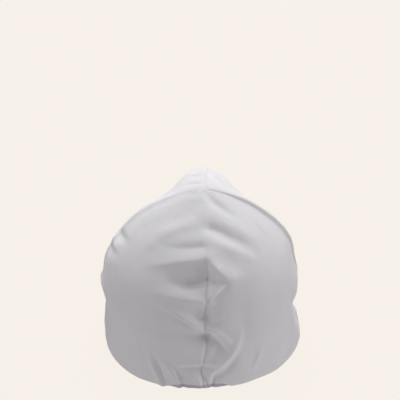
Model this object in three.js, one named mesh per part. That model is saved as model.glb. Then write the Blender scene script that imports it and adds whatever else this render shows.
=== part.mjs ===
// A welder's cap of white cotton, at rest on a flat surface. Two back panels and two front panels
// meet at a seam that runs from ear to ear over the top. A short brim is sewn under the brow, and
// an elastic gathers the nape. Millimetres, +Z up, +Y towards the brim, +X to the wearer's right.
// The origin lies on the surface, under the middle of the cap's outline.
//
// A place on the crown is an azimuth and an up. The azimuth is in degrees, from the nape (0) to
// the right ear (90), the brow (180 or -180) and the left ear (-90). The up runs from the rim (0)
// to the top, where all the seams meet (1).

import * as THREE from 'three';

const CLOTH = 1.6;
const SEAM_GAP = 0.3;
const OPENING_Y = -24;

// Corners of the crown: 0 gives an oval at the rim, more gives a squarer one
const SQUARENESS = 0.5;

// The front panels hang in on both sides of their seam, which stands up like a keel
const FRONT_SAG = 0.24;
const SAG_FROM = 0.2;
const SAG_FULL = 0.75;
const KEEL_WIDTH = 24;

const BRIM_REACH = 52;
const BRIM_THICK = 2.8;
const BRIM_EDGE_THICK = 2.0;
const BRIM_CURL = 7;
const BRIM_FORWARD = 0.65;
const BRIM_ROWS = 7;

const ELASTIC_HEIGHT = 8;
const ELASTIC_THICK = 1.5;
const ELASTIC_GAP = 0.6;
const ELASTIC_SHOWS = 5;

// How far each panel is divided. The first columns of a back panel, at the nape, are narrow ones
const BACK_ROWS = 32;
const GATHERED_COLUMNS = 15;
const GATHERED_STEP = 2.4;
const SIDE_COLUMNS = 10;
const FRONT_ROWS = 22;
const FRONT_COLUMNS = 16;
const BRIM_COLUMNS = 9;
const ELASTIC_COLUMNS = 7;
const PATH_STEPS = 10;

const WHITE_COTTON = { color: 0xd6d6da, roughness: 0.9, metalness: 0 };
const LIT_COTTON = { color: 0xe6e6ea, roughness: 0.9, metalness: 0 };
const BRIM_COTTON = { color: 0xdcdce0, roughness: 0.9, metalness: 0 };
const ELASTIC_TAPE = { color: 0xb4acbe, roughness: 0.8, metalness: 0 };

// The crown's shape from the rim to the top, at even steps of up
const PROFILE = [
  { height: 0, side: 88, nape: 101, brow: 100, keel: 0 },
  { height: 18, side: 86, nape: 102, brow: 101, keel: 0 },
  { height: 36, side: 86, nape: 102.5, brow: 102, keel: 0 },
  { height: 54, side: 86.8, nape: 101.5, brow: 102, keel: 2 },
  { height: 71, side: 84, nape: 97, brow: 98, keel: 5 },
  { height: 87, side: 78, nape: 89, brow: 90, keel: 10 },
  { height: 101, side: 68, nape: 77, brow: 78, keel: 14.5 },
  { height: 114, side: 53, nape: 60, brow: 62, keel: 17 },
  { height: 125, side: 36, nape: 40, brow: 43, keel: 17 },
  { height: 133, side: 18, nape: 20, brow: 22, keel: 13.5 },
  { height: 137.5, side: 0, nape: 0, brow: 0, keel: 0 },
];

// Folds of the cloth. Each runs through three places on the crown, given as [azimuth, up]. The
// depth is that at its start, middle and end, and below zero it is a groove.
const FOLDS = [
  { name: 'full upper back', from: [-62, 0.71], via: [0, 0.7], to: [62, 0.71], width: 20, depth: [0.5, 4.2, 0.5] },
  { name: 'upper right groove', from: [0, 0.812], via: [22, 0.742], to: [40, 0.648], width: 6.5, depth: [-3.2, -3.4, -1.6] },
  { name: 'crest under that groove', from: [3, 0.73], via: [19, 0.692], to: [34, 0.627], width: 5, depth: [0.8, 1.4, 0.8] },
  { name: 'upper left ridge', from: [-42, 0.7], via: [-31, 0.775], to: [-7, 0.832], width: 7.5, depth: [0.6, 1.3, 1.5] },
  { name: 'upper left groove', from: [-33, 0.69], via: [-16, 0.708], to: [-4, 0.712], width: 5.5, depth: [-0.5, -1.8, -2.8] },
  { name: 'middle left crest', from: [-30, 0.622], via: [-16.5, 0.648], to: [-4, 0.655], width: 4.5, depth: [0.8, 1.4, 1.2] },
  { name: 'middle left dent', from: [-28, 0.565], via: [-12, 0.568], to: [0, 0.575], width: 7, depth: [-1.5, -5, -6] },
  { name: 'edge of the pinch', from: [1.5, 0.645], via: [6, 0.598], to: [10.5, 0.552], width: 5.5, depth: [1.6, 2.4, 1.2] },
  { name: 'crest under the dent', from: [-24, 0.5], via: [-8, 0.476], to: [1.5, 0.462], width: 5.5, depth: [1, 1.8, 1.6] },
  { name: 'groove under that crest', from: [-13, 0.43], via: [-7, 0.42], to: [0, 0.385], width: 5.5, depth: [-0.8, -2.2, -2.8] },
  { name: 'crossing ridge', from: [-28, 0.41], via: [-4, 0.345], to: [11, 0.262], width: 4.5, depth: [0.4, 3, 1.2] },
  { name: 'groove under the ridge', from: [-12, 0.325], via: [0, 0.262], to: [10.5, 0.212], width: 5, depth: [-1, -2.6, -1] },
  { name: 'right tuck', from: [20, 0.33], via: [17, 0.195], to: [5, 0.07], width: 4.5, depth: [1, 3, 1.8] },
  { name: 'crease at the nape', from: [-7.5, 0.112], via: [0, 0.106], to: [7.5, 0.112], width: 4, depth: [-0.8, -1.6, -0.8] },
  { name: 'first gather', from: [-22.8, 0.175], via: [-21, 0.084], to: [-18.3, 0], width: 4, depth: [-1, -2.2, -1.6] },
  { name: 'second gather', from: [-17.5, 0.14], via: [-12.3, 0.078], to: [-9.2, 0], width: 4, depth: [-0.6, -2.2, -1.6] },
  { name: 'third gather', from: [-13.5, 0.13], via: [-7, 0.094], to: [-1.8, 0.02], width: 4, depth: [-0.5, -1.4, -1] },
  { name: 'right low groove', from: [27.2, 0.17], via: [26, 0.12], to: [24, 0.06], width: 4.5, depth: [-0.4, -1.4, -0.8] },
  { name: 'nape pulled out', from: [-22, 0], via: [0, 0], to: [18, 0], width: 13, depth: [0.3, 1.6, 0.2] },
  { name: 'flat right of the nape', from: [16, 0], via: [30, 0], to: [46, 0], width: 14, depth: [-1, -2.6, -1] },
  { name: 'left edge dent', from: [-92, 0.535], via: [-77, 0.56], to: [-65, 0.58], width: 5.5, depth: [-2.6, -1.8, -0.8] },
  { name: 'second left edge dent', from: [-92, 0.43], via: [-77, 0.462], to: [-67, 0.48], width: 5, depth: [-3, -1.6, -0.5] },
  { name: 'left bulge', from: [-100, 0.29], via: [-84, 0.31], to: [-66, 0.36], width: 5.5, depth: [2.8, 2.6, 0.4] },
  { name: 'left hollow', from: [-96, 0.17], via: [-72, 0.21], to: [-52, 0.29], width: 8, depth: [-1.8, -1.6, -0.6] },
  { name: 'right notch', from: [56, 0.31], via: [78, 0.16], to: [104, 0.1], width: 11, depth: [-1.2, -4.6, -6.4] },
  { name: 'right side dent', from: [70, 0.46], via: [88, 0.4], to: [108, 0.38], width: 12, depth: [-0.8, -2.4, -2.4] },
  { name: 'right rim flare', from: [58, 0.02], via: [74, 0], to: [100, 0], width: 9, depth: [0.6, 2.6, 2] },
  { name: 'right front dent', from: [128, 0.62], via: [146, 0.66], to: [164, 0.64], width: 10, depth: [-1.4, -2.2, -1.2] },
  { name: 'left front dent', from: [-126, 0.58], via: [-145, 0.63], to: [-165, 0.65], width: 10, depth: [-1.4, -2.2, -1.2] },
];

// How far the middle seams lie to the right of the plane between the ears, at some heights. The
// cloth beside them moves with them, less and less over about DRIFT_WIDTH
const SEAM_DRIFT = [
  { height: 0, right: -1.5 },
  { height: 20, right: -0.5 },
  { height: 50, right: 1.5 },
  { height: 68, right: 4 },
  { height: 95, right: 5 },
  { height: 116, right: 4.5 },
  { height: 137.5, right: 3.5 },
];
const DRIFT_WIDTH = 45;

// The value of one column of the profile, on a smooth curve through its rows
function profileAt(column, up) {
  const last = PROFILE.length - 1;
  const mirror = column === 'height' ? 1 : -1;
  const row = (index) => {
    if (index < 0) return 2 * PROFILE[0][column] - PROFILE[1][column];
    if (index > last) return mirror * PROFILE[2 * last - index][column];
    return PROFILE[index][column];
  };
  const place = Math.min(Math.max(up, 0), 1) * last;
  const index = Math.min(Math.floor(place), last - 1);
  const t = place - index;
  const [a, b, c, d] = [row(index - 1), row(index), row(index + 1), row(index + 2)];
  return b + 0.5 * t * (c - a + t * (2 * a - 5 * b + 4 * c - d + t * (3 * (b - c) + d - a)));
}

// The crown's outer surface before it folds
function crownPoint(azimuth, up) {
  const angle = THREE.MathUtils.degToRad(azimuth);
  const right = Math.sin(angle);
  const forward = -Math.cos(angle);
  const side = profileAt('side', up);
  const front = forward > 0;
  const reach = profileAt(front ? 'brow' : 'nape', up);
  const height = profileAt('height', up);
  if (side < 0.001) return new THREE.Vector3(0, OPENING_Y, height);
  const power = 2 + SQUARENESS * (1 - up);
  const sum = Math.abs(right / side) ** power + Math.abs(forward / reach) ** power;
  let radius = sum ** (-1 / power);
  if (front) {
    const sag = FRONT_SAG * THREE.MathUtils.smoothstep(up, SAG_FROM, SAG_FULL);
    radius *= 1 - sag * Math.sin(2 * angle) ** 2;
    const offSeam = (radius * right) / KEEL_WIDTH;
    radius += Math.max(profileAt('keel', up), 0) * forward * Math.exp(-offSeam * offSeam);
  }
  return new THREE.Vector3(radius * right, OPENING_Y + radius * forward, height);
}

// The direction in which the crown faces, from two small steps along it
function crownNormal(azimuth, up) {
  const step = 0.5;
  const low = Math.min(Math.max(up - 0.01, 0), 0.96);
  const high = Math.min(up + 0.01, 0.98);
  const across = crownPoint(azimuth + step, high).sub(crownPoint(azimuth - step, high));
  const along = crownPoint(azimuth, high).sub(crownPoint(azimuth, low));
  return across.cross(along).normalize();
}

// The places of each fold as a line of points in space
const FOLD_PATHS = FOLDS.map((fold) => {
  const places = [fold.from, fold.via, fold.to].map(([azimuth, up]) => new THREE.Vector2(azimuth, up));
  return new THREE.SplineCurve(places).getPoints(PATH_STEPS).map((place) => crownPoint(place.x, place.y));
});

// How far the folds push the cloth out at a point: a bell curve of the distance to each path
function foldDepth(point) {
  const line = new THREE.Line3();
  const nearest = new THREE.Vector3();
  let depth = 0;
  FOLDS.forEach((fold, index) => {
    const path = FOLD_PATHS[index];
    let best = { distance: Infinity, along: 0 };
    for (let step = 0; step < PATH_STEPS; step += 1) {
      line.set(path[step], path[step + 1]);
      const within = line.closestPointToPointParameter(point, true);
      const distance = line.at(within, nearest).distanceTo(point);
      if (distance < best.distance) best = { distance, along: (step + within) / PATH_STEPS };
    }
    const half = best.along < 0.5 ? 0 : 1;
    const height = THREE.MathUtils.lerp(fold.depth[half], fold.depth[half + 1], 2 * best.along - half);
    depth += height * Math.exp(-((best.distance / fold.width) ** 2));
  });
  return depth;
}

// A point of the folded crown, some way in from its outer face
function clothPoint(azimuth, up, inward) {
  const base = crownPoint(azimuth, up);
  const normal = crownNormal(azimuth, up);
  return base.addScaledVector(normal, foldDepth(base) - inward);
}

// The point moved aside with the middle seams
function drifted(point) {
  const height = THREE.MathUtils.clamp(point.z, 0, PROFILE.at(-1).height);
  const above = SEAM_DRIFT.findIndex((row, index) => index > 0 && row.height >= height);
  const [lower, upper] = SEAM_DRIFT.slice(above - 1, above + 1);
  const aside = THREE.MathUtils.mapLinear(height, lower.height, upper.height, lower.right, upper.right);
  point.x += aside * Math.exp(-((point.x / DRIFT_WIDTH) ** 2));
  return point;
}

// Height of the crown's lower edge: it stands on the brim at the brow, and at the nape it is
// drawn up so far that the elastic shows under it
const BROW_COLUMN = 90 / FRONT_COLUMNS;
const BRIM_HALF_ANGLE = BRIM_COLUMNS * BROW_COLUMN;
const DRAWN_HALF_ANGLE = ELASTIC_COLUMNS * GATHERED_STEP;

function edgeHeight(azimuth) {
  const fromNape = Math.abs(azimuth);
  const fromBrow = 180 - fromNape;
  const onBrim = THREE.MathUtils.clamp(1 + (BRIM_HALF_ANGLE - fromBrow) / BROW_COLUMN, 0, 1);
  const drawn = 1 - THREE.MathUtils.smoothstep(fromNape, 0.6 * DRAWN_HALF_ANGLE, DRAWN_HALF_ANGLE);
  return onBrim * (BRIM_THICK + SEAM_GAP) + drawn * ELASTIC_SHOWS;
}

// A closed mesh from an outer and an inner grid of points. Columns run anticlockwise seen from
// outside, rows run up, and the grids are joined along their four edges
function shellGeometry(outer, inner) {
  const rows = outer.length;
  const columns = outer[0].length;
  const positions = [];
  [outer, inner].forEach((grid) => grid.forEach((row) => row.forEach((point) => positions.push(...point.toArray()))));
  const outerAt = (row, column) => row * columns + column;
  const innerAt = (row, column) => rows * columns + outerAt(row, column);
  const index = [];
  const quad = (a, b, c, d) => index.push(a, b, c, a, c, d);
  for (let row = 0; row < rows - 1; row += 1) {
    for (let column = 0; column < columns - 1; column += 1) {
      const corners = [[row, column], [row, column + 1], [row + 1, column + 1], [row + 1, column]];
      quad(...corners.map((corner) => outerAt(...corner)));
      quad(...corners.map((corner) => innerAt(...corner)).reverse());
    }
    quad(outerAt(row + 1, 0), innerAt(row + 1, 0), innerAt(row, 0), outerAt(row, 0));
    const last = columns - 1;
    quad(outerAt(row, last), innerAt(row, last), innerAt(row + 1, last), outerAt(row + 1, last));
  }
  for (let column = 0; column < columns - 1; column += 1) {
    const top = rows - 1;
    quad(innerAt(0, column), innerAt(0, column + 1), outerAt(0, column + 1), outerAt(0, column));
    quad(outerAt(top, column), outerAt(top, column + 1), innerAt(top, column + 1), innerAt(top, column));
  }
  return closedGeometry(positions, index);
}

// Points that coincide become one, and triangles that shrink to a line are left out
function closedGeometry(positions, index) {
  const names = new Map();
  const merged = [];
  const renamed = [];
  for (let point = 0; point < positions.length; point += 3) {
    const place = positions.slice(point, point + 3);
    const name = place.map((value) => value.toFixed(3)).join(' ');
    if (!names.has(name)) {
      names.set(name, merged.length / 3);
      merged.push(...place);
    }
    renamed.push(names.get(name));
  }
  const kept = [];
  for (let corner = 0; corner < index.length; corner += 3) {
    const [a, b, c] = index.slice(corner, corner + 3).map((point) => renamed[point]);
    if (a !== b && b !== c && c !== a) kept.push(a, b, c);
  }
  const geometry = new THREE.BufferGeometry();
  geometry.setAttribute('position', new THREE.Float32BufferAttribute(merged, 3));
  geometry.setIndex(kept);
  geometry.computeVertexNormals();
  return geometry;
}

// One panel of the crown. Its sides keep half a seam gap from the planes of the two seams, and
// all its columns end in one point at the top
function panelGeometry(azimuths, rows, rightward, forward) {
  const keepOff = SEAM_GAP / 2;
  const rimStep = PROFILE[1].height * (PROFILE.length - 1);
  const grid = (inward) => Array.from({ length: rows + 1 }, (_, row) => azimuths.map((azimuth) => {
    const edge = edgeHeight(azimuth);
    const lowest = edge / rimStep;
    const point = clothPoint(azimuth, lowest + ((1 - lowest) * row) / rows, inward);
    if (row === 0) point.z = edge;
    if (row === rows) point.set(0, OPENING_Y, PROFILE.at(-1).height - inward);
    point.x = rightward * Math.max(rightward * point.x, keepOff);
    point.y = OPENING_Y + forward * Math.max(forward * (point.y - OPENING_Y), keepOff);
    return drifted(point);
  }));
  return shellGeometry(grid(0), grid(CLOTH));
}

// Columns of the panels, anticlockwise seen from above
function backAzimuths(rightward) {
  const gathered = GATHERED_COLUMNS * GATHERED_STEP;
  const narrow = Array.from({ length: GATHERED_COLUMNS }, (_, column) => column * GATHERED_STEP);
  const wide = Array.from(
    { length: SIDE_COLUMNS + 1 },
    (_, column) => gathered + ((90 - gathered) * column) / SIDE_COLUMNS,
  );
  const azimuths = [...narrow, ...wide];
  return rightward > 0 ? azimuths : azimuths.map((azimuth) => -azimuth).reverse();
}

function frontAzimuths(rightward) {
  const start = rightward > 0 ? 90 : -180;
  return Array.from({ length: FRONT_COLUMNS + 1 }, (_, column) => start + column * BROW_COLUMN);
}

// The brim: its root lies under the crown's edge, and its outer edge is a crescent that runs
// out to nothing at both ends and curls up a little in the middle
function brimGeometry() {
  const columns = 2 * BRIM_COLUMNS;
  const surface = (top) => Array.from({ length: BRIM_ROWS + 1 }, (_, row) => (
    Array.from({ length: columns + 1 }, (_unused, column) => {
      const across = (2 * column) / columns - 1;
      const out = row / BRIM_ROWS;
      const azimuth = 180 + across * BRIM_HALF_ANGLE;
      const outer = crownPoint(azimuth, 0);
      const radial = new THREE.Vector3(outer.x, outer.y - OPENING_Y, 0).normalize();
      const root = outer.addScaledVector(radial, -CLOTH);
      const way = radial.multiplyScalar(1 - BRIM_FORWARD).add(new THREE.Vector3(0, BRIM_FORWARD, 0)).normalize();
      const crescent = 1 - across * across;
      const point = root.addScaledVector(way, out * (CLOTH + BRIM_REACH * crescent ** 0.7));
      point.z = BRIM_CURL * out * out * crescent;
      if (top) point.z += THREE.MathUtils.lerp(BRIM_THICK, BRIM_EDGE_THICK, out ** 4);
      return point;
    })
  ));
  return shellGeometry(surface(false), surface(true));
}

// The elastic behind the nape, just inside the panels, which it holds gathered
function elasticGeometry() {
  const inward = CLOTH + ELASTIC_GAP;
  const rimStep = PROFILE[1].height * (PROFILE.length - 1);
  const columns = 2 * ELASTIC_COLUMNS;
  const face = (depth) => [0, ELASTIC_SHOWS, ELASTIC_HEIGHT].map((height) => (
    Array.from({ length: columns + 1 }, (_, column) => {
      const azimuth = (column - ELASTIC_COLUMNS) * GATHERED_STEP;
      const point = clothPoint(azimuth, height / rimStep, depth);
      point.z = height;
      return drifted(point);
    })
  ));
  return shellGeometry(face(inward), face(inward + ELASTIC_THICK));
}

function piece(name, geometry, finish) {
  const mesh = new THREE.Mesh(geometry, new THREE.MeshStandardMaterial(finish));
  mesh.name = name;
  return mesh;
}

const cap = new THREE.Group();
cap.name = 'welding_cap';
[['left', -1], ['right', 1]].forEach(([hand, rightward]) => {
  const back = panelGeometry(backAzimuths(rightward), BACK_ROWS, rightward, -1);
  const front = panelGeometry(frontAzimuths(rightward), FRONT_ROWS, rightward, 1);
  cap.add(piece(`back_${hand}_panel`, back, WHITE_COTTON));
  cap.add(piece(`front_${hand}_panel`, front, LIT_COTTON));
});
cap.add(piece('brim', brimGeometry(), BRIM_COTTON));
cap.add(piece('nape_elastic', elasticGeometry(), ELASTIC_TAPE));

export default cap;
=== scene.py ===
import math

import bpy
import numpy as np
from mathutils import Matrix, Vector, noise


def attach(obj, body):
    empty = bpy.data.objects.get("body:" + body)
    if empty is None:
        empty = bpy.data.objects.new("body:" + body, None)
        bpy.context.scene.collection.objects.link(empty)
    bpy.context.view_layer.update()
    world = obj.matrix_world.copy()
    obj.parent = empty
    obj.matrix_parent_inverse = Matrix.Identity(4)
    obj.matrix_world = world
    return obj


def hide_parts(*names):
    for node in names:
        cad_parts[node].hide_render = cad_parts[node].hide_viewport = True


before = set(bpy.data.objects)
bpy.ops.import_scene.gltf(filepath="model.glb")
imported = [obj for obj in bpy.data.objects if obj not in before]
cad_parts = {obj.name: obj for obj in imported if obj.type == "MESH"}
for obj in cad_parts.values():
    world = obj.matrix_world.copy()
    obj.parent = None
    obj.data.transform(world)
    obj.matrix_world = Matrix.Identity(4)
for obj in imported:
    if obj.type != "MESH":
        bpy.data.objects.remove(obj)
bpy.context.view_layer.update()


# Back panels
# Two pieces of white cotton, cut like the quarters of a ball and sewn to each other down the
# middle of the back. The cloth is slack: it dents and folds towards the seam, hangs over the
# rim, and is drawn into gathers by the elastic at the nape.
#
# A place on the crown is an azimuth and an up. The azimuth is in degrees, from the nape (0) to
# the right ear (90), the brow (180 or -180) and the left ear (-90). The up runs from the rim (0)
# to the top (1). Sizes in the tables are millimetres. The cloth is double at the hem, and
# SINGLE_SHARE of that thickness above it.
MM = 0.001
TINY = 1e-6
HEM_THICK = 2.0 * MM
HEM_HEIGHT = 12 * MM
SINGLE_SHARE = 0.6
PANEL_LENGTH = 190 * MM
OPENING_Y = -24 * MM
SEAM_GAP = 0.02 * MM
SQUARENESS = 0.5
FRONT_SAG = 0.24
SAG_FROM = 0.2
SAG_FULL = 0.75
KEEL_WIDTH = 24 * MM
DRIFT_WIDTH = 45 * MM
BRIM_THICK = 2.8 * MM
BRIM_GAP = 0.3 * MM
BRIM_HALF_ANGLE = 50.6
BRIM_END_ANGLE = 5.6
ELASTIC_SHOWS = 5 * MM
DRAWN_HALF_ANGLE = 16.8
FULLY_DRAWN = 0.6

# height, side, nape, brow, keel: the half width at the ears, the reach at the nape and at the
# brow, and how far the front seam stands out, at even steps of up
PROFILE = MM * np.array([
    (0, 88, 101, 100, 0),
    (18, 86, 102, 101, 0),
    (36, 86, 102.5, 102, 0),
    (54, 86.8, 101.5, 102, 2),
    (71, 84, 97, 98, 5),
    (87, 78, 89, 90, 10),
    (101, 68, 77, 78, 14.5),
    (114, 53, 60, 62, 17),
    (125, 36, 40, 43, 17),
    (133, 18, 20, 22, 13.5),
    (137.5, 0, 0, 0, 0),
])

# height, to the right, to the right close by: the seams at the middle don't lie quite straight
SEAM_DRIFT = MM * np.array([
    (0, -1.5, 3.5),
    (20, -0.5, 1.7),
    (33, 0.4, 3.0),
    (44, 1.1, 3.6),
    (56, 2.3, 1.3),
    (68, 4, -0.8),
    (84, 4.6, 0.4),
    (97, 5, 2.0),
    (108, 4.7, 0.7),
    (120, 4.4, 0),
    (137.5, 3.5, 0),
])
CLOSE_DRIFT_WIDTH = 8 * MM

# from, via and to as (azimuth, up); width on the left and on the right of the way it runs, seen
# from outside; depth at the start, the middle and the end, below zero for a groove; and how
# round the fold is, from 1.4 for a crease to 2 for a soft swell
FOLDS = {
    "full upper back": ((-62, 0.71), (0, 0.70), (62, 0.71), (20, 20), (0.5, 4.2, 0.5), 2),
    "hollow along the seam": ((0, 0.60), (0, 0.42), (0, 0.20), (14, 14), (-1.0, -2.6, -1.2), 2),
    "upper right groove": ((6.5, 0.783), (23, 0.738), (39.5, 0.652), (5.5, 6.5), (-3.2, -3.3, -1.0), 2),
    "crest under the groove": ((7, 0.722), (19, 0.690), (33, 0.632), (4, 5), (0.6, 1.0, 0.4), 2),
    "crest above the groove": ((11, 0.85), (32, 0.776), (46, 0.696), (9, 5), (0.5, 0.9, 0.5), 2),
    "swell under the top": ((-15, 0.835), (-1, 0.855), (13, 0.84), (9, 9), (0.4, 1.4, 0.6), 2),
    "upper left ridge": ((-42, 0.685), (-31, 0.758), (-7, 0.812), (9, 6), (0.6, 1.7, 1.1), 2),
    "upper left groove": ((-33, 0.680), (-16, 0.694), (-4, 0.706), (4.5, 6), (-0.5, -1.9, -2.8), 1.6),
    "middle left crest": ((-30, 0.605), (-16.5, 0.634), (-4, 0.646), (6, 3), (0.8, 2.6, 1.8), 1.6),
    "middle left dent": ((-22, 0.566), (-11, 0.554), (-1.5, 0.575), (8, 5), (-0.6, -7.8, -7.8), 2),
    "crest under the dent": ((-24, 0.485), (-8, 0.472), (1.5, 0.464), (5.5, 3.4), (1.0, 3.2, 2.6), 1.9),
    "pinch at the seam": ((-7, 0.592), (-3, 0.588), (2.4, 0.584), (0.9, 0.9), (-0.2, -0.8, -1.3), 1.3),
    "edge of the pinch": ((2, 0.648), (7, 0.602), (13.8, 0.556), (8, 2.8), (2.8, 5.4, 2.4), 1.6),
    "swell right of the pinch": ((9, 0.560), (17, 0.560), (25, 0.58), (9, 6), (0.8, 2.2, 0.5), 2),
    "little groove": ((1.5, 0.568), (4.6, 0.563), (8.7, 0.556), (4, 2), (-1.2, -4.2, -2.4), 1.8),
    "little crest": ((2, 0.487), (5.5, 0.517), (9.5, 0.543), (4, 1.4), (2.0, 4.4, 2.8), 1.6),
    "dark under the crest": ((-11, 0.436), (-5, 0.402), (0.5, 0.374), (10, 3), (-0.6, -2.8, -3.2), 2),
    "crossing ridge, left": ((-23, 0.442), (-9.5, 0.386), (0, 0.318), (2.3, 1.6), (0.8, 3.4, 4.6), 1.6),
    "groove under it, left": ((-16, 0.318), (-7, 0.296), (1, 0.278), (5, 7), (-1.6, -4.0, -4.6), 2),
    "crossing ridge, right": ((1, 0.330), (6.5, 0.318), (12.5, 0.268), (2.3, 1.5), (3.0, 3.8, 2.0), 1.6),
    "groove under it, right": ((1.5, 0.296), (6.5, 0.268), (11, 0.222), (2.8, 6), (-3.8, -3.6, -1.8), 2),
    "pinch at the crossing": ((-2, 0.300), (0.5, 0.296), (3, 0.296), (1.8, 1.6), (-0.3, -0.4, -0.3), 1.5),
    "small crest by the seam": ((1, 0.352), (4.5, 0.384), (8, 0.40), (3, 2.4), (0.8, 2.2, 0.8), 1.8),
    "right tuck": ((18.5, 0.325), (15.7, 0.214), (6.5, 0.102), (3.0, 6), (0.6, 2.8, 2.2), 1.7),
    "groove inside the tuck": ((10, 0.298), (7.5, 0.225), (4.5, 0.160), (3, 4), (-0.4, -1.2, -0.6), 2),
    "nape crease": ((-9, 0.141), (-1, 0.149), (7.5, 0.147), (2.2, 1.3), (0.6, 1.9, 1.2), 1.6),
    "groove under the crease": ((-7.5, 0.120), (0, 0.116), (7.5, 0.120), (2.0, 3.4), (-1.0, -2.4, -1.2), 2),
    "first gather": ((-21.5, 0.165), (-19, 0.084), (-15.8, 0), (1.6, 1.0), (-0.4, -1.4, -1.2), 1.5),
    "first gather's crest": ((-25, 0.175), (-21.4, 0.088), (-18.0, 0), (1.8, 3.2), (0.6, 2.4, 1.4), 1.7),
    "second gather": ((-15, 0.14), (-10.6, 0.078), (-7.6, 0), (1.6, 1.0), (-0.4, -1.4, -1.2), 1.5),
    "second gather's crest": ((-18.5, 0.15), (-12.8, 0.092), (-9.6, 0), (1.8, 3.2), (0.6, 2.4, 1.4), 1.7),
    "third gather": ((-1.5, 0.112), (0.5, 0.070), (3.2, 0.01), (1.6, 1.4), (-0.5, -1.6, -1.0), 1.5),
    "third gather's crest": ((-7, 0.10), (-3, 0.074), (0, 0.01), (1.8, 2.8), (0.6, 2.2, 1.2), 1.7),
    "right nape gather": ((8, 0.10), (6.5, 0.05), (6, 0), (2.2, 2.2), (-0.5, -1.8, -1.4), 1.6),
    "seam sunk at the pinch": ((1, 0.68), (1.5, 0.60), (1, 0.52), (1.6, 1.6), (-0.3, -0.5, -0.3), 1.6),
    "seam sunk above crossing": ((0.8, 0.48), (0.5, 0.41), (0, 0.345), (2.6, 1.6), (-0.8, -1.6, -0.6), 1.6),
    "seam sunk below crossing": ((0.5, 0.28), (1.2, 0.22), (0.4, 0.14), (2.2, 2.2), (-0.6, -1.0, -0.3), 1.8),
    "nape pulled out": ((-22, 0), (0, 0), (18, 0), (12, 12), (0.4, 2.8, 0.4), 2),
    "flat right of the nape": ((16, 0), (30, 0), (46, 0), (14, 14), (-1.0, -2.6, -1.0), 2),
    "flat left of the nape": ((-80, 0), (-50, 0), (-22, 0), (12, 12), (-1.6, -2.4, -1.4), 2),
    "left side dent": ((-84, 0.60), (-98, 0.56), (-112, 0.52), (16, 16), (-1.0, -2.6, -1.6), 2),
    "groove outside the tuck": ((18.5, 0.21), (14.8, 0.124), (8.5, 0.064), (3.5, 4), (-0.5, -1.8, -1.6), 1.8),
    "right low crease": ((29.8, 0.20), (28.8, 0.145), (27, 0.09), (3, 1.8), (0.2, 1.0, 0.4), 1.7),
    "right low groove": ((27.4, 0.20), (26.4, 0.15), (24.5, 0.09), (2, 4), (-0.1, -0.4, -0.2), 2),
    "right soft hollow": ((22.5, 0.46), (20, 0.34), (23, 0.19), (9, 9), (-0.6, -1.4, -0.8), 2),
    "right soft swell": ((47, 0.27), (46, 0.15), (42, 0.06), (10, 10), (0.5, 1.4, 0.6), 2),
    "left edge dent": ((-112, 0.49), (-86, 0.566), (-66, 0.604), (3.5, 6), (0, -2.4, -0.5), 2),
    "second left edge dent": ((-110, 0.40), (-86, 0.470), (-66, 0.520), (3, 5.5), (0, -2.4, -0.4), 2),
    "left bulge": ((-118, 0.235), (-92, 0.262), (-66, 0.325), (4, 4.5), (0, 3.1, 0.4), 1.7),
    "left hollow": ((-96, 0.17), (-72, 0.21), (-52, 0.29), (7, 7), (-1.8, -1.6, -0.6), 2),
    "right notch": ((56, 0.31), (78, 0.16), (104, 0.10), (9, 14), (-1.2, -4.6, -6.4), 2),
    "right side dent": ((70, 0.46), (88, 0.40), (108, 0.38), (12, 12), (-0.8, -2.4, -2.4), 2),
    "right rim flare": ((58, 0.02), (74, 0.0), (100, 0.0), (9, 9), (0.6, 2.6, 2.0), 2),
    "left facet by the top": ((-70, 0.90), (-40, 0.925), (-8, 0.94), (4, 5), (0.2, 0.4, 0.3), 2),
    "groove from the top": ((18, 0.972), (32, 0.895), (41, 0.832), (4.5, 5), (-0.9, -1.8, -0.6), 2),
    "front wrinkle": ((-152, 0.84), (-164, 0.886), (-172, 0.905), (3.6, 3.6), (-0.4, -1.0, -0.4), 2),
    "second front wrinkle": ((-139, 0.911), (-151, 0.949), (-174, 0.965), (3.6, 3.6), (-0.4, -1.0, -0.4), 2),
    "front crease": ((174, 0.857), (160, 0.907), (134, 0.903), (3, 3), (-0.6, -1.2, -0.4), 2),
    "right front dent": ((128, 0.62), (146, 0.66), (164, 0.64), (11, 9), (-1.4, -2.2, -1.2), 2),
    "left front dent": ((-126, 0.58), (-145, 0.63), (-165, 0.65), (9, 11), (-1.4, -2.2, -1.2), 2),
}
FOLD_STEPS = 12
FOLD_FADES = 4


def smooth(low, high, value):
    """Runs softly from 0 at low to 1 at high."""
    t = np.clip((value - low) / (high - low), 0, 1)
    return t * t * (3 - 2 * t)


def profile_at(up):
    """The columns of the profile, on smooth curves through its rows."""
    above_top = PROFILE[-2] * np.array([1, -1, -1, -1, -1])
    rows = np.vstack([2 * PROFILE[0] - PROFILE[1], PROFILE, above_top])
    place = np.clip(up, 0, 1) * (len(PROFILE) - 1)
    index = np.minimum(place.astype(int), len(PROFILE) - 2)
    t = (place - index)[:, None]
    a, b, c, d = (rows[index + k] for k in range(4))
    curve = b + 0.5 * t * (c - a + t * (2 * a - 5 * b + 4 * c - d + t * (3 * (b - c) + d - a)))
    return curve.T


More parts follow.
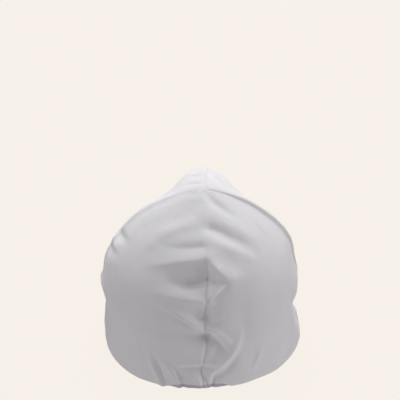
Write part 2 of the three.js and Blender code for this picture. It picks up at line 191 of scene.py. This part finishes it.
def crown_points(azimuth, up):
    """The crown before it folds, as an array of points."""
    azimuth, up = np.asarray(azimuth, float), np.asarray(up, float)
    angle = np.radians(azimuth)
    right, forward = np.sin(angle), -np.cos(angle)
    height, side, nape, brow, keel = profile_at(up)
    side = np.maximum(side, TINY)
    reach = np.maximum(np.where(forward > 0, brow, nape), TINY)
    power = 2 + SQUARENESS * (1 - up)
    radius = (np.abs(right / side) ** power + np.abs(forward / reach) ** power) ** (-1 / power)
    sag = FRONT_SAG * smooth(SAG_FROM, SAG_FULL, up) * np.sin(2 * angle) ** 2
    radius = np.where(forward > 0, radius * (1 - sag), radius)
    ridge = np.maximum(keel, 0) * forward * np.exp(-((radius * right / KEEL_WIDTH) ** 2))
    radius = np.where(forward > 0, radius + ridge, radius)
    return np.stack([radius * right, OPENING_Y + radius * forward, height], 1)


UP_STEP = 0.01
AZIMUTH_STEP = 0.5
LAST_LOW = 0.96
LAST_HIGH = 0.98


def crown_normals(azimuth, up):
    """The way the crown faces, from two small steps along it that stop short of the top."""
    low, high = np.clip(up - UP_STEP, 0, LAST_LOW), np.clip(up + UP_STEP, 0, LAST_HIGH)
    across = crown_points(azimuth + AZIMUTH_STEP, high) - crown_points(azimuth - AZIMUTH_STEP, high)
    along = crown_points(azimuth, high) - crown_points(azimuth, low)
    normal = np.cross(across, along)
    return normal / np.linalg.norm(normal, axis=1)[:, None]


def fold_path(start, via, end):
    """Points along a curve through three places on the crown."""
    t = np.linspace(0, 1, FOLD_STEPS + 1)[:, None]
    start, via, end = (np.array(place, float) for place in (start, via, end))
    places = start * (2 * t - 1) * (t - 1) + via * 4 * t * (1 - t) + end * t * (2 * t - 1)
    return crown_points(places[:, 0], places[:, 1])


def fold_push(points, normals):
    """How far the folds push the cloth out at each point, up to FOLD_FADES widths from them."""
    push = np.zeros(len(points))
    for start, via, end, widths, depths, roundness in FOLDS.values():
        path = fold_path(start, via, end)
        reach = FOLD_FADES * max(widths) * MM
        near = np.all((points > path.min(0) - reach) & (points < path.max(0) + reach), axis=1)
        here, out = points[near], normals[near]
        distance, along, side = np.full(len(here), np.inf), np.zeros(len(here)), np.zeros(len(here))
        for step in range(FOLD_STEPS):
            way = path[step + 1] - path[step]
            within = np.clip((here - path[step]) @ way / (way @ way), 0, 1)
            off = here - path[step] - within[:, None] * way
            gap = np.linalg.norm(off, axis=1)
            closer = gap < distance
            left = np.cross(out, way / np.linalg.norm(way))
            aside = np.einsum("ij,ij->i", off, left) / np.maximum(gap, 1e-9)
            distance = np.where(closer, gap, distance)
            along = np.where(closer, (step + within) / FOLD_STEPS, along)
            side = np.where(closer, aside, side)
        width = MM * (widths[1] + (widths[0] - widths[1]) * (0.5 + 0.5 * side))
        depth = MM * np.interp(along, [0, 0.5, 1], depths)
        push[near] += depth * np.exp(-((distance / width) ** roundness))
    return push


SLACK = 0.35 * MM
SLACK_WAVES = 45
FINE_SLACK_WAVES = 110
FINE_SLACK_SHARE = 0.5


def slack_push(points):
    """Small unevenness of the cloth, the same each time."""
    places = [Vector(point) for point in points]
    wide = np.array([noise.noise(place * SLACK_WAVES) for place in places])
    fine = np.array([noise.noise(place * FINE_SLACK_WAVES) for place in places])
    return SLACK * (wide + FINE_SLACK_SHARE * fine)


# What the seams do to the cloth. Of two depths, heights or gaps in brackets, the first is for the
# wearer's right and the second for the left. Two heights in brackets are from where to where.
MIDDLE_DEPTH = 1.15 * MM
MIDDLE_DEPTH_HIGH = 0.05 * MM
MIDDLE_DEPTH_FRONT = 0.1 * MM
MIDDLE_WIDTH = 1.1 * MM
MIDDLE_FLATTENS = (100 * MM, 116 * MM)
WELT_DEPTH = (0.4 * MM, 0.08 * MM)
WELT_WIDTH = 0.8 * MM
PUFF_HEIGHT = (2.4 * MM, 0.8 * MM)
PUFF_WIDTH = 13 * MM
PUFF_GAP = (1.4 * MM, 3.0 * MM)
PUFF_BEGINS = (40 * MM, 80 * MM)
PUFF_SHRINKS = (124 * MM, 136 * MM)
PUFF_LOST = 0.8
DITCH_DEPTH = (0.5 * MM, 0.1 * MM)
DITCH_WIDTH = 1.2 * MM
TOP_CALM = 6 * MM


def bell(distance, width):
    """1 at no distance, and hardly anything past twice the width."""
    return np.exp(-((distance / width) ** 2))


def seam_push(points, azimuth):
    """The cloth turns in at its seams, and in front of the ear-to-ear seam it puffs up."""
    off_middle, off_ears = np.abs(points[:, 0]), np.abs(points[:, 1] - OPENING_Y)
    height = points[:, 2]
    behind, at_right = np.abs(azimuth) <= 90, azimuth > 0
    low = 1 - smooth(*MIDDLE_FLATTENS, height)
    depth = MIDDLE_DEPTH_HIGH + (MIDDLE_DEPTH - MIDDLE_DEPTH_HIGH) * low
    middle = -np.where(behind, depth, MIDDLE_DEPTH_FRONT) * bell(off_middle, MIDDLE_WIDTH)
    welt = -np.where(at_right, *WELT_DEPTH) * bell(off_ears, WELT_WIDTH)
    puff = np.where(at_right, *PUFF_HEIGHT) * bell(off_ears, PUFF_WIDTH)
    clear = 1 - bell(off_ears, np.where(at_right, *PUFF_GAP))
    ditch = -np.where(at_right, *DITCH_DEPTH) * bell(off_ears, DITCH_WIDTH)
    puffed = smooth(*PUFF_BEGINS, height) * (1 - PUFF_LOST * smooth(*PUFF_SHRINKS, height))
    front = (puff * clear + ditch) * puffed + welt * (1 - puffed)
    off_top = smooth(0, TOP_CALM, np.hypot(off_middle, off_ears))
    return off_top * (middle + np.where(behind, welt, front))


def drifted(points):
    """The points moved aside as the middle seams are. The close drift is at the back only."""
    right, forward, height = points.T
    aside, close = (np.interp(height, SEAM_DRIFT[:, 0], SEAM_DRIFT[:, column]) for column in (1, 2))
    aside = aside * bell(right, DRIFT_WIDTH)
    close = close * bell(right, CLOSE_DRIFT_WIDTH) * (forward < OPENING_Y)
    return np.stack([right + aside + close, forward, height], 1)


def edge_height(azimuth):
    """The crown's lower edge stands on the brim at the brow, and is drawn up at the nape."""
    from_nape = np.abs(azimuth)
    on_brim = np.clip(1 + (BRIM_HALF_ANGLE - (180 - from_nape)) / BRIM_END_ANGLE, 0, 1)
    drawn = 1 - smooth(FULLY_DRAWN * DRAWN_HALF_ANGLE, DRAWN_HALF_ANGLE, from_nape)
    return on_brim * (BRIM_THICK + BRIM_GAP) + drawn * ELASTIC_SHOWS


def up_at(height):
    """The up of a place at this height, low on the crown."""
    return height / (PROFILE[1, 0] * (len(PROFILE) - 1))


def cloth_points(azimuth, up, inward=0.0):
    """The folded crown, some way in from its outer face."""
    base, normals = crown_points(azimuth, up), crown_normals(azimuth, up)
    push = fold_push(base, normals) + slack_push(base) + seam_push(base, azimuth)
    return base + normals * (push - inward)[:, None]


def new_grid(name, columns, rows):
    """A flat grid, and how far each of its points is across and along it, from 0 to 1."""
    bpy.ops.object.select_all(action="DESELECT")
    bpy.ops.mesh.primitive_grid_add(x_subdivisions=columns, y_subdivisions=rows, size=1)
    grid = bpy.context.object
    grid.name = name
    grid.data.name = name
    flat = np.empty(len(grid.data.vertices) * 3)
    grid.data.vertices.foreach_get("co", flat)
    places = flat.reshape(-1, 3) + 0.5
    return grid, places[:, 0], places[:, 1]


def place_grid(grid, points, across, along):
    """Moves a grid's points to their places and keeps where they lay on the flat cloth, in metres."""
    mesh = grid.data
    mesh.vertices.foreach_set("co", points.ravel())
    corners = np.empty(len(mesh.loops), dtype=int)
    mesh.loops.foreach_get("vertex_index", corners)
    mesh.uv_layers[0].name = "cloth"
    mesh.uv_layers["cloth"].data.foreach_set("uv", np.stack([across, along], 1)[corners].ravel())
    bpy.ops.object.mode_set(mode="EDIT")
    bpy.ops.mesh.select_all(action="SELECT")
    bpy.ops.mesh.remove_doubles(threshold=TINY)
    bpy.ops.object.mode_set(mode="OBJECT")


def thicken(sheet, thickness, doubled=""):
    """Gives a sheet its thickness, inwards and above the floor. Outside a doubled group it's thinner."""
    wall = sheet.modifiers.new("wall", "SOLIDIFY")
    wall.thickness = thickness
    wall.offset = -1
    wall.vertex_group = doubled
    wall.thickness_vertex_group = SINGLE_SHARE
    bpy.ops.object.modifier_apply(modifier="wall")
    for vertex in sheet.data.vertices:
        vertex.co.z = max(vertex.co.z, 0)
    bpy.ops.object.shade_smooth_by_angle(angle=math.radians(50))


CROWDING = 0.55


def crown_panel(name, start, columns, rows):
    """One quarter of the crown, from azimuth start to start + 90, its columns crowded to the seams."""
    panel, across, along = new_grid(name, columns, rows)
    azimuth = start + 90 * (across - CROWDING * np.sin(2 * math.pi * across) / (2 * math.pi))
    edge = edge_height(azimuth)
    lowest = up_at(edge)
    up = lowest + (1 - lowest) * along
    points = cloth_points(azimuth, up)
    points[along < TINY, 2] = edge[along < TINY]
    points[along > 1 - TINY] = (0, OPENING_Y, PROFILE[-1, 0])
    rightward = 1 if 0 <= start < 180 else -1
    forward = 1 if abs(start + 45) > 90 else -1
    points[:, 0] = rightward * np.maximum(rightward * points[:, 0], SEAM_GAP / 2)
    points[:, 1] = OPENING_Y + forward * np.maximum(forward * (points[:, 1] - OPENING_Y), SEAM_GAP / 2)
    girth = np.hypot(points[:, 0], points[:, 1] - OPENING_Y)
    place_grid(panel, drifted(points), np.radians(azimuth - start - 45) * girth, up * PANEL_LENGTH)
    hem = panel.vertex_groups.new(name="hem")
    for vertex in panel.data.vertices:
        hem.add([vertex.index], float(vertex.co.z < HEM_HEIGHT), "REPLACE")
    thicken(panel, HEM_THICK, "hem")
    return panel


STITCH_PITCH = 3.2 * MM
THREAD_RADIUS = 0.2 * MM
THREAD_SIDES = 6
THREAD_LIFT = 0.4 * MM
THREAD_SINK = 0.33 * MM
STITCH_FULLNESS = 0.6
STEPS_PER_STITCH = 8


def sewing_thread(name, places, outward):
    """A thread along a row of places, which dips into the cloth between its stitches."""
    lengths = np.concatenate([[0], np.cumsum(np.linalg.norm(np.diff(places, axis=0), axis=1))])
    stitches = max(int(lengths[-1] / STITCH_PITCH), 2)
    thread, around, along = new_grid(name, THREAD_SIDES, stitches * STEPS_PER_STITCH)
    at = along * lengths[-1]
    middle = np.stack([np.interp(at, lengths, places[:, axis]) for axis in range(3)], 1)
    up = np.stack([np.interp(at, lengths, outward[:, axis]) for axis in range(3)], 1)
    up /= np.linalg.norm(up, axis=1)[:, None]
    ahead = np.stack([np.interp(at, lengths, np.gradient(places[:, axis])) for axis in range(3)], 1)
    aside = np.cross(up, ahead)
    aside /= np.linalg.norm(aside, axis=1)[:, None]
    lift = THREAD_LIFT * np.abs(np.sin(math.pi * stitches * along)) ** STITCH_FULLNESS - THREAD_SINK
    radius = THREAD_RADIUS * np.where((along < TINY) | (along > 1 - TINY), 0, 1)
    turn = 2 * math.pi * around
    points = middle + up * (lift + radius * np.sin(turn))[:, None] + aside * (radius * np.cos(turn))[:, None]
    place_grid(thread, points, around, at)
    bpy.ops.object.shade_smooth()
    thread.data.materials.append(SEWING_THREAD)
    return thread


def crown_thread(name, azimuth, up):
    """A sewing thread on the crown's cloth, through places given as azimuths and ups."""
    return sewing_thread(name, drifted(cloth_points(azimuth, up)), crown_normals(azimuth, up))


class Wire:
    """One value in a material. Sums of wires and numbers add the Math nodes for them."""

    def __init__(self, tree, socket=None):
        self.tree, self.socket = tree, socket

    def node(self, kind, settings=None, inputs=None, output=0):
        made = self.tree.nodes.new(kind)
        for key, value in (settings or {}).items():
            setattr(made, key, value)
        for key, value in (inputs or {}).items():
            if isinstance(value, Wire):
                self.tree.links.new(value.socket, made.inputs[key])
            else:
                made.inputs[key].default_value = value
        return Wire(self.tree, made.outputs[output])

    def math(self, operation, *values):
        return self.node("ShaderNodeMath", {"operation": operation}, dict(enumerate(values)))

    def sine(self):
        return self.math("SINE", self)

    def between(self, first, second):
        """A colour that goes from the first to the second as the value goes from 0 to 1."""
        kind = {"data_type": "RGBA", "clamp_factor": True}
        return self.node("ShaderNodeMix", kind, {0: self, 6: first, 7: second}, output=2)

    def other(self, output):
        """Another output of the same node."""
        return Wire(self.tree, self.socket.node.outputs[output])

    def to(self, socket):
        self.tree.links.new(self.socket, socket)

    def __add__(self, other):
        return self.math("ADD", self, other)

    def __sub__(self, other):
        return self.math("SUBTRACT", self, other)

    def __rsub__(self, other):
        return self.math("SUBTRACT", other, self)

    def __mul__(self, other):
        return self.math("MULTIPLY", self, other)

    __radd__ = __add__
    __rmul__ = __mul__


MOTTLE_SCALE = 28.0
SLUBS_ALONG = 90
SLUBS_ACROSS = 2200
MOTTLE_SHADE = 0.45
SLUB_SHADE = 0.5
# the weave's share of the colour is painted shade: darker where the threads sink between each other
WEAVE_PAINTED_SHADE = 0.12
EVEN_SHADE = 0.28
ROUGH = 0.9
SLUB_GLOSS = 0.08
WEAVE_GLOSS = 0.04
WEAVE_HEIGHT = 0.5
SLUB_HEIGHT = 1.2
YARN_RELIEF = 0.15 * MM


def cotton(name, light, dark, threads_per_mm, relief):
    """Plain-woven cotton: threads both ways with thick and thin places, and a faint mottle. Its colour is a
    little darker where the weave sinks: painted shade between the threads.
    """
    material = bpy.data.materials.new(name)
    material.use_nodes = True
    tree = material.node_tree
    shader = tree.nodes["Principled BSDF"]
    start = Wire(tree)
    place = start.node("ShaderNodeUVMap", {"uv_map": "cloth"})
    across = start.node("ShaderNodeSeparateXYZ", inputs={0: place})
    along = across.other(1)
    pitch = math.pi * threads_per_mm / MM
    weave = (across * pitch).sine() * (along * pitch).sine()

    def slubs(scale):
        stretched = start.node("ShaderNodeMapping", inputs={0: place, 3: scale})
        return start.node("ShaderNodeTexNoise", inputs={0: stretched, "Scale": 1.0, "Detail": 2.0})

    thick = slubs((SLUBS_ALONG, SLUBS_ACROSS, 1)) + slubs((SLUBS_ACROSS, SLUBS_ALONG, 1)) - 1.0
    body = start.node("ShaderNodeTexCoord", output=3)
    mottle = start.node("ShaderNodeTexNoise", inputs={0: body, "Scale": MOTTLE_SCALE, "Detail": 3.0})
    # the mottle and the thick and thin yarns are the cloth's own uneven tone; the weave's share is painted
    # shade, darker where the threads sink
    shade = mottle * MOTTLE_SHADE + thick * SLUB_SHADE + weave * WEAVE_PAINTED_SHADE + EVEN_SHADE
    shade.between(dark, light).to(shader.inputs["Base Color"])
    rough = ROUGH - thick * SLUB_GLOSS - weave * WEAVE_GLOSS
    rough.to(shader.inputs["Roughness"])
    height = weave * WEAVE_HEIGHT + thick * SLUB_HEIGHT
    yarns = {"Strength": relief, "Distance": YARN_RELIEF, "Height": height}
    start.node("ShaderNodeBump", inputs=yarns).to(shader.inputs["Normal"])
    shader.inputs["Sheen Weight"].default_value = 0.12
    shader.inputs["Sheen Roughness"].default_value = 0.5
    shader.inputs["Specular IOR Level"].default_value = 0.25
    return material


WHITE_COTTON = cotton("white cotton", (0.83, 0.815, 0.84, 1), (0.74, 0.725, 0.75, 1), 2.0, 0.35)
SEWING_THREAD = cotton("white thread", (0.86, 0.85, 0.87, 1), (0.76, 0.75, 0.78, 1), 3.0, 0.5)
SEAM_ROW_OFF = 2.2 * MM
HEM_ROW_HEIGHT = 7 * MM
EAR_ROW_BOTTOM = 0.02
FRONT_ROW_BOTTOM = 0.04
SEAM_ROW_TOP = 0.965
SEAM_ROW_PLACES = 400
ROW_END = 1.4
ROW_PLACES = 300


def seam_row(up, from_seam, side):
    """Azimuths of a row that runs beside the seam at the azimuth from_seam, towards side."""
    girth = np.hypot(*(crown_points(np.full(len(up), from_seam), up)[:, :2] - (0, OPENING_Y)).T)
    return from_seam + side * np.degrees(np.arcsin(SEAM_ROW_OFF / girth))


def hem_row(azimuth):
    """The up of a row that runs at one height over the crown's lower edge."""
    return up_at(edge_height(azimuth) + HEM_ROW_HEIGHT)


for hand, start in (("right", 0), ("left", -90)):
    back = crown_panel(f"back_{hand}_cloth", start, columns=165, rows=200)
    back.data.materials.append(WHITE_COTTON)
    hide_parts(f"back_{hand}_panel")
    up = np.linspace(EAR_ROW_BOTTOM, SEAM_ROW_TOP, SEAM_ROW_PLACES)
    seam = 90 if hand == "right" else -90
    seam_thread = crown_thread(f"ear_seam_{hand}_thread", seam_row(up, seam, -seam / 90), up)
    azimuth = np.linspace(start + ROW_END, start + 90 - ROW_END, ROW_PLACES)
    hem_thread = crown_thread(f"back_{hand}_hem_thread", azimuth, hem_row(azimuth))
    for piece in (back, seam_thread, hem_thread):
        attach(piece, "root")


# Front panels
# Two more quarters of the same cotton, sewn to the back ones from ear to ear over the top and to
# each other up the middle. They hang in a little on both sides of that middle seam, which stands
# up between them.
for hand, start in (("right", 90), ("left", -180)):
    front = crown_panel(f"front_{hand}_cloth", start, columns=130, rows=160)
    front.data.materials.append(WHITE_COTTON)
    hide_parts(f"front_{hand}_panel")
    azimuth = np.linspace(start + ROW_END, start + 90 - ROW_END, ROW_PLACES)
    hem_thread = crown_thread(f"front_{hand}_hem_thread", azimuth, hem_row(azimuth))
    up = np.linspace(FRONT_ROW_BOTTOM, SEAM_ROW_TOP, SEAM_ROW_PLACES)
    seam = 180 if hand == "right" else -180
    seam_thread = crown_thread(f"front_seam_{hand}_thread", seam_row(up, seam, -seam / 180), up)
    for piece in (front, seam_thread, hem_thread):
        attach(piece, "root")


# Brim
# A short, soft peak of two layers of the same cotton over a thin core, sewn through in rows
# that follow its outer edge. Its root is caught in the seam under the crown's edge.
BRIM_REACH = 52 * MM
BRIM_CURL = 7 * MM
BRIM_FORWARD = 0.65
BRIM_ROWS = 6
BRIM_QUILT = 0.35 * MM
BRIM_SEWN_IN = 0.5 * MM
BRIM_LIFT = 0.2 * MM
BRIM_IN_SEAM = 1.6 * MM
BRIM_FULLNESS = 0.7
BRIM_EDGE_FROM = 0.93
BRIM_END_TAPER = 0.02
BRIM_ROW_END = 0.93
LAYERS_APART = 400 * MM
EDGE_WELD = 0.01 * MM


def brim_points(across, out, top):
    """Points of the brim: across from -1 to 1 at its ends, out from its root to its edge."""
    azimuth = 180 + across * BRIM_HALF_ANGLE
    rim = crown_points(azimuth, np.zeros(len(azimuth)))
    radial = (rim - (0, OPENING_Y, 0)) / np.linalg.norm(rim - (0, OPENING_Y, 0), axis=1)[:, None]
    root = rim - radial * BRIM_IN_SEAM
    way = radial * (1 - BRIM_FORWARD) + np.array([0, BRIM_FORWARD, 0])
    way /= np.linalg.norm(way, axis=1)[:, None]
    crescent = 1 - across**2
    reach = BRIM_IN_SEAM + BRIM_REACH * crescent**BRIM_FULLNESS
    points = root + way * (out * reach)[:, None]
    quilt = BRIM_QUILT * np.abs(np.sin(math.pi * BRIM_ROWS * out)) ** BRIM_FULLNESS
    outer = np.sqrt(1 - smooth(BRIM_EDGE_FROM, 1, out) ** 2)
    ends = np.sqrt(smooth(0, BRIM_END_TAPER, crescent))
    half = (BRIM_THICK / 2 - BRIM_SEWN_IN + quilt) * outer * ends
    middle = BRIM_THICK / 2 + BRIM_LIFT + BRIM_CURL * out**2 * crescent
    points[:, 2] = middle + top * half
    return points


brim, across, around = new_grid("brim_cloth", columns=180, rows=120)
across = 2 * across - 1
top = np.where(around < 0.5, 1.0, -1.0)
out = 1 - np.abs(2 * around - 1)
out = np.sin(out * math.pi / 2)
points = brim_points(across, out, top)
place_grid(brim, points, points[:, 0], points[:, 1] + LAYERS_APART * (top < 0))
bpy.ops.object.mode_set(mode="EDIT")
bpy.ops.mesh.select_all(action="SELECT")
bpy.ops.mesh.remove_doubles(threshold=EDGE_WELD)
bpy.ops.mesh.normals_make_consistent(inside=False)
bpy.ops.object.mode_set(mode="OBJECT")
bpy.ops.object.shade_smooth_by_angle(angle=math.radians(60))
brim.data.materials.append(WHITE_COTTON)
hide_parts("brim")
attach(brim, "root")
for row in range(1, BRIM_ROWS):
    for side, top in (("top", 1.0), ("underside", -1.0)):
        run = np.linspace(-BRIM_ROW_END, BRIM_ROW_END, ROW_PLACES)
        places = brim_points(run, np.full(ROW_PLACES, row / BRIM_ROWS), np.full(ROW_PLACES, top))
        outward = np.tile((0.0, 0.0, top), (ROW_PLACES, 1))
        row_thread = sewing_thread(f"brim_row_{row}_{side}_thread", places, outward)
        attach(row_thread, "root")


# Elastic at the nape
# A short length of grey knitted elastic, sewn behind the lower edge while stretched, which draws
# the cloth into gathers and shows under them as a narrow band.
ELASTIC_HEIGHT = 8 * MM
ELASTIC_THICK = 1.2 * MM
ELASTIC_GAP = 0.1 * MM
NAPE_GIRTH = 100 * MM
elastic, across, along = new_grid("elastic_tape", columns=120, rows=16)
azimuth = (2 * across - 1) * DRAWN_HALF_ANGLE
lift = along * ELASTIC_HEIGHT
points = cloth_points(azimuth, up_at(lift), HEM_THICK + ELASTIC_GAP)
points[:, 2] = lift
place_grid(elastic, drifted(points), np.radians(azimuth) * NAPE_GIRTH, lift)
thicken(elastic, ELASTIC_THICK)
ELASTIC_TAPE = cotton("grey elastic", (0.64, 0.585, 0.67, 1), (0.49, 0.445, 0.52, 1), 0.8, 0.8)
elastic.data.materials.append(ELASTIC_TAPE)
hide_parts("nape_elastic")
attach(elastic, "root")


# Studio
# A plain cream floor and soft light from above and in front, with weak fills at the back and at
# both sides. The cap is seen from behind and above.
FLOOR_SIZE = 60
bpy.ops.object.select_all(action="DESELECT")
bpy.ops.mesh.primitive_plane_add(size=FLOOR_SIZE, location=(0, 0, 0))
floor = bpy.context.object
floor.name = "floor"
floor.visible_diffuse = False
floor.visible_glossy = False
cream = bpy.data.materials.new("cream floor")
cream.use_nodes = True
paint = cream.node_tree.nodes["Principled BSDF"]
paint.inputs["Base Color"].default_value = (0.02, 0.019, 0.018, 1)
paint.inputs["Roughness"].default_value = 1
paint.inputs["Specular IOR Level"].default_value = 0
paint.inputs["Emission Color"].default_value = (0.905, 0.855, 0.80, 1)
paint.inputs["Emission Strength"].default_value = 1
floor.data.materials.append(cream)


def soft_light(name, size, power, place, aim):
    """A square lamp, with its size in metres and its power in watts."""
    bpy.ops.object.select_all(action="DESELECT")
    bpy.ops.object.light_add(type="AREA", location=place)
    light = bpy.context.object
    light.name = name
    light.data.shape = "SQUARE"
    light.data.size = size
    light.data.energy = power
    light.rotation_euler = (Vector(aim) - Vector(place)).to_track_quat("-Z", "Y").to_euler()


soft_light("key", 0.8, 23.5, (0, 1.2, 1.9), (0, 0, 0))
soft_light("front", 0.8, 18, (0, 2.0, 0.7), (0, 0, 0.05))
soft_light("overhead", 3, 26, (0, 0, 2.4), (0, 0, 0))
soft_light("back fill", 1.6, 4.2, (0, -2.2, 0.35), (0, 0, 0.05))
soft_light("right fill", 0.8, 13, (2.1, -0.5, 0.3), (0, 0, 0.02))
soft_light("left fill", 0.8, 7, (-2.1, -0.5, 0.3), (0, 0, 0.02))

world = bpy.data.worlds.new("studio")
bpy.context.scene.world = world
world.use_nodes = True
sky = Wire(world.node_tree)
GLOW_BELOW = (0.62, 0.605, 0.62, 1)
GLOW_ABOVE = (0.05, 0.05, 0.05, 1)
RISE_TO_DARK = 1.5
way = sky.node("ShaderNodeTexCoord")
rise = sky.node("ShaderNodeSeparateXYZ", inputs={0: way}, output=2)
glow = (rise * RISE_TO_DARK + 0.5).between(GLOW_BELOW, GLOW_ABOVE)
glow.to(world.node_tree.nodes["Background"].inputs["Color"])

# The camera looks from behind, 35 degrees above the cap's opening
CAMERA_RISE = math.radians(35)
CAMERA_FAR = 1.35
PIXELS_PER_METRE = 1090
PICTURE = 400
OPENING_PIXEL = (200.5, 320)
SENSOR = 36
focal = PIXELS_PER_METRE * CAMERA_FAR
opening = Vector((0, OPENING_Y, 0))
camera_data = bpy.data.cameras.new("camera")
camera_data.sensor_width = SENSOR
camera_data.lens = focal * SENSOR / PICTURE
camera = bpy.data.objects.new("camera", camera_data)
bpy.context.scene.collection.objects.link(camera)
camera.location = opening + CAMERA_FAR * Vector((0, -math.cos(CAMERA_RISE), math.sin(CAMERA_RISE)))
dip = CAMERA_RISE - math.atan((OPENING_PIXEL[1] - PICTURE / 2) / focal)
camera.rotation_euler = (math.pi / 2 - dip, 0, math.atan((OPENING_PIXEL[0] - PICTURE / 2) / focal))
bpy.context.scene.camera = camera
bpy.context.scene.view_settings.view_transform = "Standard"
